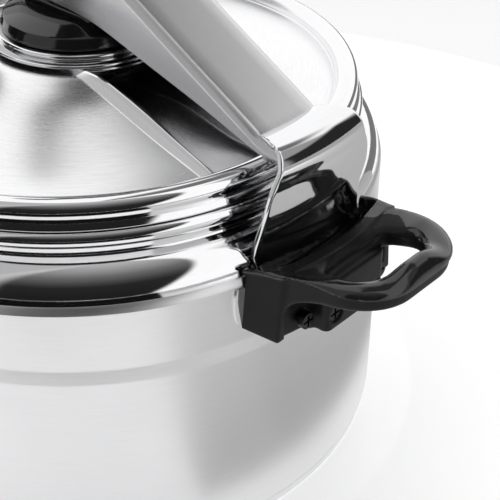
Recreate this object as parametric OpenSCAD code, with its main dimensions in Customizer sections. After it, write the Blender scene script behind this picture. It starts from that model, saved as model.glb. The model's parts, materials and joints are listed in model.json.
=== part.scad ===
// Clamp-arch pressure canner: pot, domed lid, screw-down arch with hook jaws, side handles.
// Millimetres. +Z is up, the pot stands on z = 0, and the handles and the arch lie along X.

/* [Pot] */
// Outer radius of the lower body wall
body_r = 128.2; // [115:0.1:140]
// How much the wall steps in above the step line
step_in = 1.0; // [0:0.1:3]
// Height of the step line
step_z = 96.0; // [60:0.5:115]
// Sheet thickness of the pot
pot_t = 1.5; // [1:0.1:3]
// Outer radius of the neck under the rim bead
neck_r = 114.0; // [105:0.1:120]
// Height of the rim bead's centre
bead_z = 149.3; // [140:0.1:160]
// Radius of the rim bead's section
bead_r = 3.6; // [2:0.1:5]
// Thickness of the sandwich base
base_t = 6.0; // [4:0.1:10]

/* [Lid] */
// Sheet thickness of the lid
lid_t = 1.8; // [1:0.1:3]
// Centre radius of the rolled lid rim
roll_ring_r = 110.4; // [100:0.1:120]
// Height of the rolled rim's centre
roll_z = 159.1; // [150:0.1:170]
// Section radius of the rolled rim
roll_r = 4.8; // [3:0.1:8]
// Height of the flat centre of the lid
lid_top_z = 177.5; // [170:0.1:190]
// Half width of the raised band at its top
band_half = 27.0; // [20:0.1:35]
// Half width of the raised band at its foot
band_foot = 30.2; // [22:0.1:40]

/* [Clamp] */
// Outer half width of the arch channel
arch_half = 17.5; // [12:0.1:25]
// Sheet thickness of the arch
arch_t = 3.0; // [2:0.1:5]
// Height of the arch's flat top
arch_top_z = 229.0; // [215:0.5:245]
// Outer radius of the jaw's lower end
jaw_r = 131.4; // [130:0.1:136]
// Thickness of the jaw plate
jaw_t = 2.0; // [1.5:0.1:3]
// Height of the jaw's lower end
jaw_bottom_z = 118.0; // [112:0.5:125]
// Radius of the clamp screw
screw_r = 7.0; // [5:0.05:9]
// Radial play between the clamp screw and its threaded bush
screw_play = 0.05; // [0.01:0.01:0.1]

/* [Handles] */
// Height of the handle block's underside
handle_z = 105.5; // [100:0.5:115]
// Half length of the handle block at the pot
handle_half = 36.3; // [30:0.1:50]
// Section radius of the handle loop
loop_r = 5.4; // [4:0.1:8]
// Centre radius of the handle loop's two corners
loop_bend = 17.0; // [12:0.1:24]
// Height of the handle loop's centre
loop_z = 137.3; // [125:0.1:145]
// Half spacing of the inner handle screws
screw_half = 11.5; // [8:0.1:20]
// Half spacing of the outer handle screws
outer_screw_half = 22.0; // [19:0.1:26]
// Height of the handle screws
handle_screw_z = 112.0; // [110:0.5:120]

/* [Hidden] */
$fn = 96;
upper_r = body_r - step_in;
shoulder_c = [109.2, 125.3];
shoulder_r = 16.9;
side_bow = 54.8;
side_z = 19;
loop_tip_x = 173.8;
loop_arm_y = 25.3;
valve_at = [-28, -52];
safety_at = [-28, 52];

// ---------- helpers ----------

// A ring of rectangular section about the Z axis
module ring(r_in, r_out, z0, z1) {
  rotate_extrude()
    translate([r_in, z0])
    square([r_out - r_in, z1 - z0]);
}

// Two copies on opposite sides of the Z axis
module both_sides() {
  children();
  rotate([0, 0, 180])
    children();
}

// A sector from the axis out to r, half angle a, along +X
module sector(r, a, z0, z1) {
  translate([0, 0, z0])
    linear_extrude(z1 - z0)
    polygon([
      [0, 0],
      [r, -r * tan(a)],
      [r, r * tan(a)]
    ]);
}

// A plate that follows the pot wall, half angle a
module curved_plate(r_in, r_out, a, z0, z1) {
  intersection() {
    ring(r_in, r_out, z0, z1);
    sector(r_out + 10, a, z0 - 1, z1 + 1);
  }
}

// ---------- pot ----------

// Half section of the pot's outside, moved inwards by d
module pot_section(d) {
  intersection() {
    square([body_r - d, side_z]);
    union() {
      translate([body_r - side_bow, side_z])
        circle(r = side_bow - d, $fn = 240);
      square([body_r - side_bow, side_z]);
    }
  }
  translate([0, side_z])
    square([body_r - d, step_z - 1.5 - side_z]);
  polygon([
    [0, step_z - 1.5],
    [body_r - d, step_z - 1.5],
    [upper_r - d, step_z + 1.5],
    [upper_r - d, 124.5],
    [upper_r - 1.1 - d, 128],
    [0, 128]
  ]);
  translate(shoulder_c)
    circle(r = shoulder_r - d);
  translate([0, 110])
    square([shoulder_c[0], 31]);
  translate([0, 130])
    square([neck_r - d, bead_z - 130]);
}

module pot_body() {
  color("silver")
    rotate_extrude($fn = 180) {
      difference() {
        intersection() {
          pot_section(0);
          translate([0, base_t])
            square([200, 200]);
        }
        intersection() {
          pot_section(pot_t);
          translate([0, base_t + pot_t])
            square([200, 200]);
        }
      }
      translate([neck_r + 0.2, bead_z])
        circle(r = bead_r);
    }
}

// Aluminium disc that spreads the heat, closed in by the base cap
module base_core() {
  color("gainsboro")
    translate([0, 0, 1.2])
    cylinder(r = 119, h = base_t - 1.2);
}

module base_cap() {
  color("silver")
    difference() {
      rotate_extrude($fn = 180)
        intersection() {
          pot_section(0);
          square([200, base_t]);
        }
      translate([0, 0, 1.2])
        cylinder(r = 119, h = base_t);
      // shallow ring pressed in under the base
      translate([0, 0, -1])
        ring(60, 66, 0, 1.4);
    }
}

// Welded steel bracket that holds a handle and has the catch teeth
module bracket() {
  // back plate with rounded ends, wider than the handle block
  intersection() {
    ring(upper_r + 0.02, upper_r + 1.2, handle_z + 0.5, 124.4);
    union() {
      sector(140, 16.0, 100, 130);
      for (s = [-1, 1])
        translate([110, s * 33.0, 116.5])
          rotate([0, 90, 0])
          scale([2.2, 1, 1])
          cylinder(r = 5.9, h = 30);
    }
  }
  difference() {
    curved_plate(135.6, 137.2, 13.8, handle_z + 1, 124.6);
    for (s = [-1, 1], h = [screw_half, outer_screw_half])
      translate([125, s * h, handle_screw_z])
        rotate([0, 90, 0])
        cylinder(r = 2.3, h = 15, $fn = 48);
  }
  intersection() {
    ring(upper_r + 0.1, 137.1, handle_z + 1, 122.0);
    for (s = [-1, 1])
      translate([110, s * 32.4 - 0.7, handle_z])
        cube([40, 1.4, 20]);
  }
  for (a = [-6.8, 1.2, 9.2])
    rotate([0, 0, a])
      curved_plate(132.4, 135.7, 0.45, 122.5, 124.6);
}

module right_bracket() {
  color("silver")
    bracket();
}

module left_bracket() {
  color("silver")
    rotate([0, 0, 180])
    bracket();
}

// ---------- handles ----------

// One rounded corner of the loop and its arm, on the +Y side
module loop_side() {
  translate([loop_tip_x - loop_bend, loop_arm_y - loop_bend, loop_z])
    rotate_extrude(angle = 90)
    translate([loop_bend, 0])
    circle(r = loop_r);
  translate([136, loop_arm_y, loop_z])
    rotate([0, 90, 0])
    cylinder(r = loop_r, h = loop_tip_x - loop_bend - 136);
}

module loop_tube() {
  loop_side();
  mirror([0, 1, 0])
    loop_side();
  translate([loop_tip_x, loop_arm_y - loop_bend, loop_z])
    rotate([90, 0, 0])
    cylinder(r = loop_r, h = 2 * (loop_arm_y - loop_bend));
}

// Plan outline of the handle block
module block_plan() {
  polygon([
    [118, -handle_half - 0.4],
    [122, -handle_half],
    [138, -34.4],
    [146, -31.0],
    [146, 31.0],
    [138, 34.4],
    [122, handle_half],
    [118, handle_half + 0.4]
  ]);
}

module handle() {
  difference() {
    union() {
      // curved front wall and side walls
      intersection() {
        difference() {
          translate([0, 0, handle_z])
            cylinder(r = 141, h = 132.5 - handle_z);
          translate([0, 0, handle_z - 1])
            cylinder(r = upper_r + 1.3, h = 40);
        }
        translate([0, 0, handle_z])
          linear_extrude(40)
          block_plan();
      }
      // boss for the inner screws
      translate([0, 0, handle_z])
        linear_extrude(23)
        polygon([
          [136, -17],
          [145.5, -17],
          [148.9, -13.6],
          [148.9, 13.6],
          [145.5, 17],
          [136, 17]
        ]);
      // arms that run up from the side walls into the loop
      for (s = [-1, 1])
        translate([0, s * 27.0, 0])
          rotate([90, 0, 0])
          translate([0, 0, -4.0])
          linear_extrude(8.0)
          polygon([
            [124, 128],
            [124, 131.5],
            [129, 133.2],
            [139, 134.6],
            [147, 137.2],
            [155, 139.0],
            [155, 131.2],
            [150, 128.6],
            [145, 125.5],
            [141, 122.0],
            [138, 118]
          ]);
      // saddle between the well and the loop's opening
      translate([0, 0, 127.5])
        linear_extrude(6.5)
        polygon([
          [130, -30.5],
          [146, -27],
          [143.5, -15],
          [142.8, 0],
          [143.5, 15],
          [146, 27],
          [130, 30.5]
        ]);
      loop_tube();
    }
    // well for the jaw and the bracket, below the lip
    intersection() {
      translate([100, -33.2, handle_z - 1])
        cube([50, 66.4, 50]);
      translate([0, 0, handle_z - 1])
        cylinder(r = 137.4, h = 60);
    }
    // pot shoulder
    translate([0, 0, 129])
      cylinder(r1 = upper_r + 1.3, r2 = 118, h = 14);
    translate([0, 0, 142.9])
      cylinder(r = 119, h = 10);
    // screw holes and counterbores
    for (s = [-1, 1]) {
      translate([130, s * screw_half, handle_screw_z])
        rotate([0, 90, 0]) {
          cylinder(r = 2.3, h = 30, $fn = 48);
          translate([0, 0, 15.4])
            cylinder(r = 3.6, h = 10, $fn = 48);
        }
      translate([130, s * outer_screw_half, handle_screw_z])
        rotate([0, 90, 0])
        cylinder(r = 2.3, h = 30, $fn = 48);
    }
  }
}

module right_handle() {
  color("#1c1c1e")
    handle();
}

module left_handle() {
  color("#1c1c1e")
    rotate([0, 0, 180])
    handle();
}

// One machine screw along +X with a cross slot, head underside at x
module machine_screw(x, y) {
  translate([0, y, handle_screw_z])
    rotate([0, 90, 0])
    difference() {
      union() {
        translate([0, 0, 130.6])
          cylinder(r = 2.2, h = x - 130.5, $fn = 48);
        translate([0, 0, x])
          cylinder(r = 3.4, h = 2.6, $fn = 48);
      }
      translate([-0.5, -2.6, x + 1.2])
        cube([1.0, 5.2, 3]);
      translate([-2.6, -0.5, x + 1.2])
        cube([5.2, 1.0, 3]);
    }
}

// Machine screws that pull the handles onto the brackets
module handle_screws() {
  color("silver")
    both_sides()
    for (s = [-1, 1]) {
      machine_screw(145.45, s * screw_half);
      machine_screw(141.1, s * outer_screw_half);
    }
}

// Nuts behind the bracket rails
module handle_nuts() {
  color("silver")
    both_sides()
    for (s = [-1, 1], h = [screw_half, outer_screw_half])
      translate([0, s * h, handle_screw_z])
        rotate([0, 90, 0])
        translate([0, 0, h > 15 ? 130.4 : 132.6])
        difference() {
          rotate([0, 0, 30])
            linear_extrude(2.2)
            circle(r = 3.9, $fn = 6);
          translate([0, 0, -1])
            cylinder(r = 2.25, h = 6, $fn = 48);
        }
}

// ---------- lid ----------

// Half section of the dome, moved down by d
module dome_section(d) {
  polygon([
    [0, lid_top_z - d],
    [41, lid_top_z - d],
    [47.5, 175.9 - d],
    [54.2, 173.9 - d],
    [67.5, 169.3 - d],
    [77.5, 165.9 - d],
    [86.8, 163.1 - d],
    [96.8, 160.3 - d],
    [104.6, 158.0 - d],
    [106.4, 158.0 - d],
    [106.4, 140],
    [0, 140]
  ]);
}

// Raised band across the lid, side profile along X, moved down by d
module band_profile(d) {
  polygon([
    [0, 179.2 - d],
    [44, 178.6 - d],
    [57.6, 174.5 - d],
    [68.4, 171.0 - d],
    [79, 167.3 - d],
    [89, 164.0 - d],
    [97.5, 161.2 - d],
    [104.8, 158.4 - d],
    [104.8, 150],
    [0, 150]
  ]);
}

module band_solid(d) {
  for (m = [0, 1])
    mirror([m, 0, 0])
      intersection() {
        translate([0, 40, 0])
          rotate([90, 0, 0])
          linear_extrude(80)
          band_profile(d);
        translate([-1, 0, 0])
          rotate([90, 0, 90])
          linear_extrude(120)
          polygon([
            [-band_foot - 6 + d, 140],
            [-band_foot - 3 + d, 158],
            [-band_half + d / 2, 181],
            [band_half - d / 2, 181],
            [band_foot + 3 - d, 158],
            [band_foot + 6 - d, 140]
          ]);
        ring(0, 105.4, 140, 190);
      }
}

module lid_shell() {
  color("silver")
    difference() {
      union() {
        rotate_extrude($fn = 180) {
          difference() {
            dome_section(0);
            translate([0, 130])
              square([101, 22]);
          }
          translate([roll_ring_r, roll_z])
            circle(r = roll_r);
          polygon([
            [roll_ring_r + 3.2, roll_z + 2],
            [roll_ring_r + roll_r, roll_z],
            [116.4, 153.2],
            [115.0, 153.2],
            [113.6, 158]
          ]);
        }
        band_solid(0);
        // flat pads under the two valves
        translate([valve_at[0], valve_at[1], 158])
          cylinder(r = 9.5, h = 18);
        translate([safety_at[0], safety_at[1], 158])
          cylinder(r = 11.5, h = 18);
      }
      // hollow underside
      rotate_extrude($fn = 180)
        difference() {
          dome_section(lid_t);
          translate([101, 100])
            square([20, 100]);
        }
      band_solid(lid_t + 0.6);
      // open underside of the rolled rim
      rotate_extrude($fn = 180) {
        translate([roll_ring_r, roll_z])
          circle(r = roll_r - 1.4);
        translate([roll_ring_r - 1.2, roll_z - 8])
          square([2.4, 8]);
        translate([101, 100])
          square([14.0, 54.3]);
      }
      // holes for the centre stud and the two valves
      translate([0, 0, 150])
        cylinder(r = 6.0, h = 40);
      translate([valve_at[0], valve_at[1], 140])
        cylinder(r = 4.0, h = 50);
      translate([safety_at[0], safety_at[1], 140])
        cylinder(r = 5.5, h = 50);
    }
}

// Sealing ring, flat on the rim bead with a lip inside the neck
module gasket() {
  color("dimgray")
    rotate_extrude($fn = 180)
    polygon([
      [104.6, 146],
      [109.6, 146],
      [109.8, 153.2],
      [114.8, 153.2],
      [114.8, 154.25],
      [104.6, 154.25]
    ]);
}

// Polished disc under the clamp's centre
module centre_disc() {
  color("silver")
    rotate_extrude() {
      translate([6.1, lid_top_z + 1.75])
        square([34.4, 1.4]);
      translate([40.5, lid_top_z + 2.45])
        circle(r = 0.7);
    }
}

// Second, smaller polished ring on the disc
module centre_ring() {
  color("silver")
    rotate_extrude() {
      translate([15, lid_top_z + 3.16])
        square([20.4, 2.2]);
      translate([35.4, lid_top_z + 4.26])
        circle(r = 1.1);
    }
}

// Stud through the lid with a cup for the screw's tip
module centre_stud() {
  color("silver")
    difference() {
      union() {
        translate([0, 0, 172.0])
          cylinder(r = 5.9, h = 9);
        translate([0, 0, lid_top_z + 3.16])
          cylinder(r = 14.5, h = 3.4);
      }
      translate([0, 0, 182.2])
        cylinder(r = screw_r + 0.4, h = 10);
    }
}

// Nut under the lid that holds the centre stud
module centre_nut() {
  color("silver")
    translate([0, 0, 172.0])
    difference() {
      linear_extrude(4.5 - lid_t - 0.5)
        circle(r = 11, $fn = 6);
      translate([0, 0, -1])
        cylinder(r = 5.95, h = 10);
    }
}

// ---------- operating valve ----------

module at_valve() {
  translate([valve_at[0], valve_at[1], 0])
    children();
}

// Vent pipe of the operating valve
module vent_stem() {
  color("silver")
    at_valve()
    difference() {
      union() {
        translate([0, 0, 160])
          cylinder(r = 3.9, h = 34);
        translate([0, 0, 176.05])
          cylinder(r = 7.5, h = 3.2);
        translate([0, 0, 194])
          cylinder(r1 = 3.9, r2 = 2.4, h = 4);
      }
      translate([0, 0, 159])
        cylinder(r = 1.5, h = 50, $fn = 48);
    }
}

module vent_nut() {
  color("silver")
    at_valve()
    translate([0, 0, 160.5])
    difference() {
      linear_extrude(5)
        circle(r = 8, $fn = 6);
      translate([0, 0, -1])
        cylinder(r = 3.95, h = 12);
    }
}

// Weight that sits over the vent pipe
module weight_core() {
  color("silver")
    at_valve()
    difference() {
      translate([0, 0, 180])
        cylinder(r = 9, h = 26);
      translate([0, 0, 179])
        cylinder(r = 4.3, h = 19.3);
      translate([0, 0, 190])
        cylinder(r1 = 4.3, r2 = 2.8, h = 8.6);
    }
}

module weight_cap() {
  color("#1c1c1e")
    at_valve()
    difference() {
      union() {
        translate([0, 0, 184])
          cylinder(r = 13, h = 20);
        translate([0, 0, 204])
          cylinder(r1 = 13, r2 = 10, h = 4.5);
      }
      translate([0, 0, 183])
        cylinder(r = 9.02, h = 23.05);
      for (a = [0:45:315])
        rotate([0, 0, a])
          translate([15.4, 0, 180])
          cylinder(r = 3.6, h = 40, $fn = 48);
    }
}

// ---------- safety valve ----------

module at_safety() {
  translate([safety_at[0], safety_at[1], 0])
    children();
}

module safety_body() {
  color("silver")
    at_safety()
    difference() {
      union() {
        translate([0, 0, 160])
          cylinder(r = 5.4, h = 17);
        translate([0, 0, 176.05])
          linear_extrude(4)
          circle(r = 10, $fn = 6);
        translate([0, 0, 176.2])
          cylinder(r = 7.5, h = 10);
      }
      translate([0, 0, 159])
        cylinder(r = 2.55, h = 10);
      translate([0, 0, 166])
        cylinder(r = 4.6, h = 18.5);
      translate([0, 0, 180])
        cylinder(r = 2.05, h = 10);
    }
}

module safety_nut() {
  color("silver")
    at_safety()
    translate([0, 0, 160.5])
    difference() {
      linear_extrude(5)
        circle(r = 10, $fn = 6);
      translate([0, 0, -1])
        cylinder(r = 5.45, h = 12);
    }
}

module safety_plunger() {
  color("goldenrod")
    at_safety() {
      translate([0, 0, 166.3])
        cylinder(r = 4.1, h = 3.0);
      translate([0, 0, 158.5])
        cylinder(r = 2.5, h = 7.9);
      translate([0, 0, 169.2])
        cylinder(r = 2.0, h = 19.2);
    }
}

// Coil spring over the plunger, drawn as stacked rings joined by short posts
module safety_spring() {
  color("silver")
    at_safety() {
      for (k = [0:4])
        translate([0, 0, 170.1 + k * 3.35])
          rotate_extrude()
          translate([3.3, 0])
          circle(r = 0.6, $fn = 32);
      for (k = [0:3])
        rotate([0, 0, k * 150])
          translate([3.3, 0, 170.1 + k * 3.35])
          cylinder(r = 0.5, h = 3.35, $fn = 24);
    }
}

// ---------- swivel hub ----------

// Black hub that turns on the lid and keeps the arch in line
module swivel_hub() {
  color("#1c1c1e")
    difference() {
      union() {
        translate([0, 0, 183.2])
          cylinder(r1 = 34.5, r2 = 32.5, h = 5);
        translate([0, 0, 188.2])
          cylinder(r1 = 32.5, r2 = 24, h = 4);
        translate([-23, -14.2, 190])
          cube([46, 28.4, 15]);
      }
      translate([0, 0, 180])
        cylinder(r = screw_r + 0.6, h = 30);
      translate([0, 0, 183])
        cylinder(r = 15.0, h = 1.6);
    }
}

// ---------- clamp ----------

// Right half of the arch's side outline; the top moves down by d, the foot by f
function arch_half_points(d, f) = [
  [13, arch_top_z - d],
  [18, arch_top_z - 0.9 - d],
  [23, arch_top_z - 3.4 - d],
  [73.8, 197.3 - d],
  [113.4, 175.7 - d],
  [113.5, 174.3 - d],
  [126, 174.3 - d],
  [126, 168.8 - f],
  [113.1, 170.0 - f],
  [104.3, 172.6 - f],
  [84.2, 178.9 - f],
  [63.3, 184.7 - f],
  [42.8, 190.5 - f],
  [25, 194.8 - f],
  [0, 196.5 - f]
];

module arch_side(d, f) {
  right = arch_half_points(d, f);
  last = len(right) - 2;
  left = [for (k = [last:-1:0]) [-right[k][0], right[k][1]]];
  polygon(concat(right, left));
}

module clamp_arch() {
  color("silver")
    difference() {
      translate([0, arch_half, 0])
        rotate([90, 0, 0])
        linear_extrude(arch_half * 2)
        arch_side(0, 0);
      translate([0, arch_half - arch_t, 0])
        rotate([90, 0, 0])
        linear_extrude((arch_half - arch_t) * 2)
        arch_side(arch_t * 1.1, 8);
      translate([0, 0, 210])
        cylinder(r = 12.0, h = 30);
      // rivet holes under the jaws
      both_sides()
        for (s = [-1, 1])
          translate([119.5, s * 7.5, 160])
            cylinder(r = 2.5, h = 20, $fn = 48);
    }
}

// Section of a jaw: top plate, bend, bowed hanging plate and flared lower end
module jaw_section() {
  bend = [for (a = [80:-10:0]) [126 + 8 * cos(a), 169 + 9 * sin(a)]];
  inner_bend = [for (a = [0:10:80]) [126 + 6 * cos(a), 169 + 7 * sin(a)]];
  polygon(concat(
    [[113.7, 174.6], [113.7, 176.6], [118, 177.6], [122, 178.0], [126, 178.0]],
    bend,
    [[134.0, 160], [133.2, 154.5], [132.0, 150], [130.4, 145], [129.0, 139], [128.4, 134]],
    [[128.8, 131], [130.2, 128], [jaw_r, 125], [jaw_r, jaw_bottom_z]],
    [[jaw_r - jaw_t, jaw_bottom_z], [jaw_r - jaw_t, 125], [128.2, 128], [126.8, 131]],
    [[126.4, 134], [127.0, 139], [128.4, 145], [130.0, 150], [131.2, 154.5], [132.0, 160]],
    inner_bend,
    [[126, 176.0], [122, 176.0], [118, 175.6], [115.2, 174.9]]
  ));
}

module jaw() {
  // bent top, narrow at the arch
  intersection() {
    rotate_extrude($fn = 180)
      jaw_section();
    translate([0, 0, 169])
      linear_extrude(20)
      polygon([
        [105, -15.4],
        [114.5, -15.8],
        [128, -20.8],
        [131.5, -22.3],
        [140, -22.9],
        [140, 22.9],
        [131.5, 22.3],
        [128, 20.8],
        [114.5, 15.8],
        [105, 15.4]
      ]);
  }
  // hanging plate, wider at its lower end
  intersection() {
    rotate_extrude($fn = 180)
      jaw_section();
    translate([110, 0, 0])
      rotate([90, 0, 90])
      linear_extrude(40)
      polygon([
        [-28.2, 117],
        [-28.2, 123],
        [-29.6, 131],
        [-28.4, 138],
        [-27.4, 145],
        [-27.0, 152],
        [-25.8, 159],
        [-22.9, 169.01],
        [22.9, 169.01],
        [25.8, 159],
        [27.0, 152],
        [27.4, 145],
        [28.4, 138],
        [29.6, 131],
        [28.2, 123],
        [28.2, 117]
      ]);
  }
  // lips that turn in under the catch teeth
  for (a = [-8, 0, 8])
    rotate([0, 0, a])
      curved_plate(jaw_r - 0.5, 134.6, 0.45, jaw_bottom_z, 120.7);
}

module right_jaw() {
  color("silver")
    difference() {
      jaw();
      for (s = [-1, 1])
        translate([119.5, s * 7.5, 173])
          cylinder(r = 2.5, h = 3.6, $fn = 48);
    }
}

module left_jaw() {
  color("silver")
    rotate([0, 0, 180])
    difference() {
      jaw();
      for (s = [-1, 1])
        translate([119.5, s * 7.5, 173])
          cylinder(r = 2.5, h = 3.6, $fn = 48);
    }
}

// Filler blocks inside the arch ends that the jaws are riveted to
module end_blocks() {
  color("silver")
    both_sides()
    difference() {
      translate([113.6, -14.4, 166.2])
        cube([12.2, 28.8, 4.7]);
      for (s = [-1, 1])
        translate([119.5, s * 7.5, 160])
          cylinder(r = 2.5, h = 20, $fn = 48);
    }
}

// Rivets through the jaws and the arch ends
module jaw_rivets() {
  color("silver")
    both_sides()
    for (s = [-1, 1])
      translate([119.5, s * 7.5, 0]) {
        translate([0, 0, 164.6])
          cylinder(r = 2.45, h = 11.8, $fn = 48);
        translate([0, 0, 164.2])
          cylinder(r1 = 3.4, r2 = 4.4, h = 1.98, $fn = 48);
      }
}

// Threaded bush in the middle of the arch
module arch_bush() {
  color("goldenrod")
    difference() {
      union() {
        translate([0, 0, 209])
          cylinder(r = 11.9, h = 22.5);
        translate([0, 0, 229.05])
          cylinder(r = 16, h = 3);
      }
      translate([0, 0, 200])
        cylinder(r = screw_r + screw_play, h = 40);
    }
}

// Nut that holds the bush against the underside of the arch top
module bush_nut() {
  color("silver")
    translate([0, 0, 219])
    difference() {
      linear_extrude(6)
        circle(r = 15.6, $fn = 6);
      translate([0, 0, -1])
        cylinder(r = 11.95, h = 12);
    }
}

// ---------- knob ----------

// Clamp screw with its rounded tip in the centre stud's cup
module clamp_screw() {
  color("silver")
    difference() {
      union() {
        translate([0, 0, 184.2])
          cylinder(r = screw_r, h = 65.75);
        translate([0, 0, 182.6])
          cylinder(r1 = 4.6, r2 = screw_r, h = 1.61);
        translate([0, 0, 249.9])
          cylinder(r = 5, h = 10.1);
      }
      // groove for the retaining clip
      ring(screw_r - 1.1, screw_r + 1, 206.9, 208.1);
    }
}

// Clip on the screw that stops the arch coming off
module screw_clip() {
  color("silver")
    difference() {
      ring(screw_r - 1.05, screw_r + 2.6, 207.0, 208.0);
      translate([2, -3.2, 200])
        cube([14, 6.4, 20]);
    }
}

module knob_body() {
  color("#1c1c1e")
    difference() {
      union() {
        translate([0, 0, 236])
          cylinder(r1 = 19, r2 = 22, h = 8);
        translate([0, 0, 244])
          cylinder(r = 22, h = 14);
        translate([0, 0, 258])
          cylinder(r1 = 22, r2 = 17, h = 6);
        // two wings
        for (a = [0, 180])
          rotate([0, 0, 90 + a])
            difference() {
              union() {
                translate([0, -11, 245])
                  cube([42, 22, 12]);
                translate([42, 0, 245])
                  cylinder(r = 11, h = 12);
                translate([42, 0, 257])
                  cylinder(r1 = 11, r2 = 8, h = 3);
                translate([0, -8, 256])
                  cube([42, 16, 4]);
              }
              translate([42, 0, 240])
                cylinder(r = 4, h = 9);
            }
      }
      translate([0, 0, 230])
        cylinder(r = screw_r + 0.02, h = 20);
      translate([0, 0, 245])
        cylinder(r = 5.02, h = 30);
      translate([0, 0, 256])
        cylinder(r = 12, h = 20);
    }
}

// Acorn nut that holds the knob on the screw
module knob_nut() {
  color("silver")
    translate([0, 0, 256.05])
    difference() {
      union() {
        linear_extrude(4.5)
          circle(r = 8.6, $fn = 6);
        translate([0, 0, 4.5])
          cylinder(r1 = 7, r2 = 4.5, h = 2.2);
      }
      translate([0, 0, -1])
        cylinder(r = 5.02, h = 5.2);
    }
}

// Polished cover pressed into the knob's top
module knob_cover() {
  color("silver")
    translate([0, 0, 263.0])
    difference() {
      union() {
        cylinder(r = 11.98, h = 1.3);
        translate([0, 0, 1])
          cylinder(r1 = 14.5, r2 = 12.5, h = 1.6);
      }
      translate([0, 0, -1])
        cylinder(r = 9, h = 1.6);
    }
}

pot_body();
base_core();
base_cap();
right_bracket();
left_bracket();
right_handle();
left_handle();
handle_screws();
handle_nuts();
lid_shell();
gasket();
centre_disc();
centre_ring();
centre_stud();
centre_nut();
vent_stem();
vent_nut();
weight_core();
weight_cap();
safety_body();
safety_nut();
safety_plunger();
safety_spring();
swivel_hub();
clamp_arch();
right_jaw();
left_jaw();
end_blocks();
jaw_rivets();
arch_bush();
bush_nut();
clamp_screw();
screw_clip();
knob_body();
knob_nut();
knob_cover();
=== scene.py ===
"""Looks of the pressure canner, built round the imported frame.

Lengths in the shape functions are millimetres in the row frame: Z up from the floor, X along the arch.
"""

import json
import math

import bmesh
import bpy
import numpy as np
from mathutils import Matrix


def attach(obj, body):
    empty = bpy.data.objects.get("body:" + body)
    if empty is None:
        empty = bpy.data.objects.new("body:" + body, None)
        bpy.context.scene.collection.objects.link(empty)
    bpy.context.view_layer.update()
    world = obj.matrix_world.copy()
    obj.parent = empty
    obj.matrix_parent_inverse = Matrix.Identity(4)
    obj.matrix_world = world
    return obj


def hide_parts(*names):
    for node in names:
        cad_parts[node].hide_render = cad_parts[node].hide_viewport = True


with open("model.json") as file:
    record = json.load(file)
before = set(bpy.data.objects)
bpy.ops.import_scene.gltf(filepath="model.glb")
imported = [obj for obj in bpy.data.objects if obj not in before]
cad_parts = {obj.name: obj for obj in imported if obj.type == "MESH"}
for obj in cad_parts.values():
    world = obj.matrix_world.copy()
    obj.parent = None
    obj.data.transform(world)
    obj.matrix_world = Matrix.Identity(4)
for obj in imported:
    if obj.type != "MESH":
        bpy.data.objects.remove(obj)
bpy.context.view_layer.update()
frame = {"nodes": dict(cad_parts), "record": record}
NODES = frame["nodes"]
MM = 0.001

# ---------------------------------------------------------------- curves


def arc(centre, radius, start, end, steps):
    """Points on a circle from one angle to another, in degrees."""
    return [
        (centre[0] + radius * math.cos(math.radians(a)), centre[1] + radius * math.sin(math.radians(a)))
        for a in np.linspace(start, end, steps)
    ]


def rounded(corners, steps=5, closed=True):
    """A polyline whose corners (x, y, radius) are rounded with arcs."""
    count = len(corners)
    points = []
    for i, (x, y, radius) in enumerate(corners):
        if radius == 0 or (not closed and i in (0, count - 1)):
            points.append((x, y))
            continue
        here = np.array((x, y), float)
        before = np.array(corners[i - 1][:2], float) - here
        after = np.array(corners[(i + 1) % count][:2], float) - here
        len_before = np.linalg.norm(before)
        len_after = np.linalg.norm(after)
        before /= len_before
        after /= len_after
        half = math.acos(max(-1.0, min(1.0, float(before @ after)))) / 2
        if half > 1.56 or half < 0.02:
            points.append((x, y))
            continue
        cut = min(radius / math.tan(half), len_before * 0.49, len_after * 0.49)
        real = cut * math.tan(half)
        middle = (before + after) / np.linalg.norm(before + after)
        centre = here + middle * real / math.sin(half)
        start = here + before * cut - centre
        end = here + after * cut - centre
        a0 = math.atan2(start[1], start[0])
        a1 = math.atan2(end[1], end[0])
        turn = (a1 - a0 + math.pi) % (2 * math.pi) - math.pi
        for k in range(steps + 1):
            a = a0 + turn * k / steps
            points.append((centre[0] + real * math.cos(a), centre[1] + real * math.sin(a)))
    return points


def curve(xs, ys):
    """A smooth function through the points: a natural cubic spline, straight outside its ends."""
    xs = np.array(xs, float)
    ys = np.array(ys, float)
    n = len(xs)
    h = np.diff(xs)
    a = np.zeros((n, n))
    b = np.zeros(n)
    a[0, 0] = a[-1, -1] = 1
    for i in range(1, n - 1):
        a[i, i - 1 : i + 2] = h[i - 1], 2 * (h[i - 1] + h[i]), h[i]
        b[i] = 6 * ((ys[i + 1] - ys[i]) / h[i] - (ys[i] - ys[i - 1]) / h[i - 1])
    m = np.linalg.solve(a, b)

    def value(x):
        x = np.asarray(x, float)
        inside = np.clip(x, xs[0], xs[-1])
        k = np.clip(np.searchsorted(xs, inside) - 1, 0, n - 2)
        left = xs[k + 1] - inside
        right = inside - xs[k]
        width = h[k]
        y = (m[k] * left**3 + m[k + 1] * right**3) / (6 * width)
        y += (ys[k] / width - m[k] * width / 6) * left
        y += (ys[k + 1] / width - m[k + 1] * width / 6) * right
        slope_0 = (ys[1] - ys[0]) / h[0] - m[1] * h[0] / 6
        slope_1 = (ys[-1] - ys[-2]) / h[-1] + m[-2] * h[-1] / 6
        return y + np.minimum(x - xs[0], 0) * slope_0 + np.maximum(x - xs[-1], 0) * slope_1

    return value


def step(x, low, high):
    """0 below low, 1 above high, smooth between."""
    t = np.clip((x - low) / (high - low), 0, 1)
    return t * t * (3 - 2 * t)


# ---------------------------------------------------------------- meshes


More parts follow.
